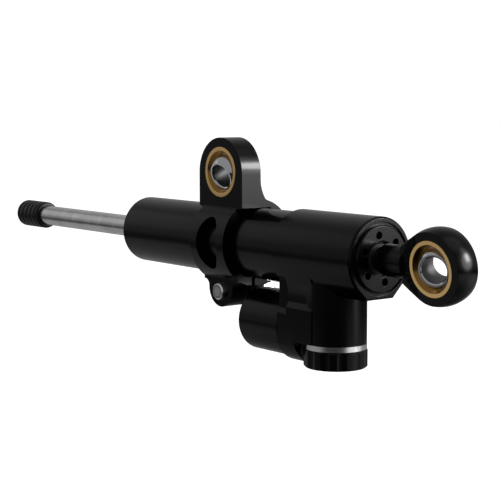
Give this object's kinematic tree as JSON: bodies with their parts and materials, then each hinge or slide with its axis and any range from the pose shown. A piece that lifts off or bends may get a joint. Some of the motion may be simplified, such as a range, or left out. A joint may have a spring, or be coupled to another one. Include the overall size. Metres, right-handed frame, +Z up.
{
  "type": "steering damper",
  "caption": "Adjustable motorcycle steering damper: through rod, side reservoir, tube clamp and rod end with spherical bearings.",
  "frame": {"origin": "centre of the rod end's ball, on the damper's axis", "axes": "+X along the damper's axis towards the rod end's eye, +Z up towards the clamp's bearing, the adjuster knob points down"},
  "size_m": [0.2595, 0.03, 0.0724],
  "materials": {
    "black_anodised": "black anodised, satin",
    "brushed_rod": "ground and polished",
    "polished_ball": "polished",
    "brass_race": "turned",
    "bright_ring": "bright turned",
    "zinc_steel": "zinc plated",
    "bumper_rubber": "moulded, satin",
    "seal_rubber": "matte",
    "bronze_bush": "turned",
    "valve_brass": "turned",
    "valve_steel": "turned",
    "plain_aluminium": "turned",
    "band_plastic": "filled PTFE"
  },
  "bodies": {
    "damper_body": {"main_tube": "black_anodised", "valve_housing": "black_anodised", "tube_gland": "black_anodised", "tube_gland_wiper": "seal_rubber", "tube_gland_seal": "seal_rubber", "tube_gland_bush": "bronze_bush", "tube_gland_o_ring": "seal_rubber", "end_cap": "black_anodised", "end_cap_wiper": "seal_rubber", "end_cap_seal": "seal_rubber", "end_cap_bush": "bronze_bush", "end_cap_o_ring": "seal_rubber", "reservoir_tube": "black_anodised", "reservoir_o_ring": "seal_rubber", "reservoir_cap": "black_anodised", "reservoir_cap_o_ring": "seal_rubber", "fill_screw": "zinc_steel", "valve_cartridge": "valve_brass", "spindle_gland": "valve_brass", "index_ring": "bright_ring", "clamp_bracket": "black_anodised", "clamp_race": "brass_race", "pinch_bolt": "zinc_steel"},
    "slide_band": {"piston_band": "band_plastic"},
    "rod": {"piston_rod": "brushed_rod", "piston": "plain_aluminium", "piston_clip_left": "zinc_steel", "piston_clip_right": "zinc_steel", "rod_end_eye": "black_anodised", "rod_end_race": "brass_race", "rod_bumper": "bumper_rubber"},
    "rod_end_ball": {"rod_end_ball": "polished_ball"},
    "clamp_ball": {"clamp_ball": "polished_ball"},
    "knob": {"adjuster_knob": "black_anodised", "knob_screw": "zinc_steel", "valve_spindle": "valve_steel", "spindle_o_ring": "seal_rubber"},
    "needle": {"needle_valve": "valve_steel"},
    "floating_piston": {"floating_piston": "plain_aluminium", "floating_piston_o_ring": "seal_rubber"}
  },
  "joints": [
    {"name": "rod_slide", "type": "slide", "parent": "damper_body", "child": "slide_band", "axis": [1, 0, 0], "range_m": [-0.0025, 0.071]},
    {"name": "rod_spin", "type": "hinge", "parent": "slide_band", "child": "rod", "pos_m": [0, 0, 0], "axis": [1, 0, 0], "continuous": true},
    {"name": "rod_end_tilt", "type": "hinge", "parent": "rod", "child": "rod_end_ball", "pos_m": [0, 0, 0], "axis": [0.2055, -0.1269, 0.9704], "range_deg": [-41.07, 2.93]},
    {"name": "clamp_tilt", "type": "hinge", "parent": "damper_body", "child": "clamp_ball", "pos_m": [-0.09535, -0.0048, 0.024], "axis": [0.9822, 0, 0.1879], "range_deg": [-43.81, 0.19]},
    {"name": "knob_turn", "type": "hinge", "parent": "damper_body", "child": "knob", "pos_m": [-0.04565, 0, -0.0335], "axis": [0, 0, 1], "range_deg": [-150, 150]},
    {"name": "needle_lift", "type": "slide", "parent": "knob", "child": "needle", "axis": [0, 0, 1], "range_m": [-0.000416, 0.000416]},
    {"name": "floating_slide", "type": "slide", "parent": "damper_body", "child": "floating_piston", "axis": [1, 0, 0], "range_m": [-0.0045, 0.0045]}
  ],
  "couplings": [
    {"joint": "knob_turn", "follows": "needle_lift", "rad_per_m": 6283.2}
  ]
}
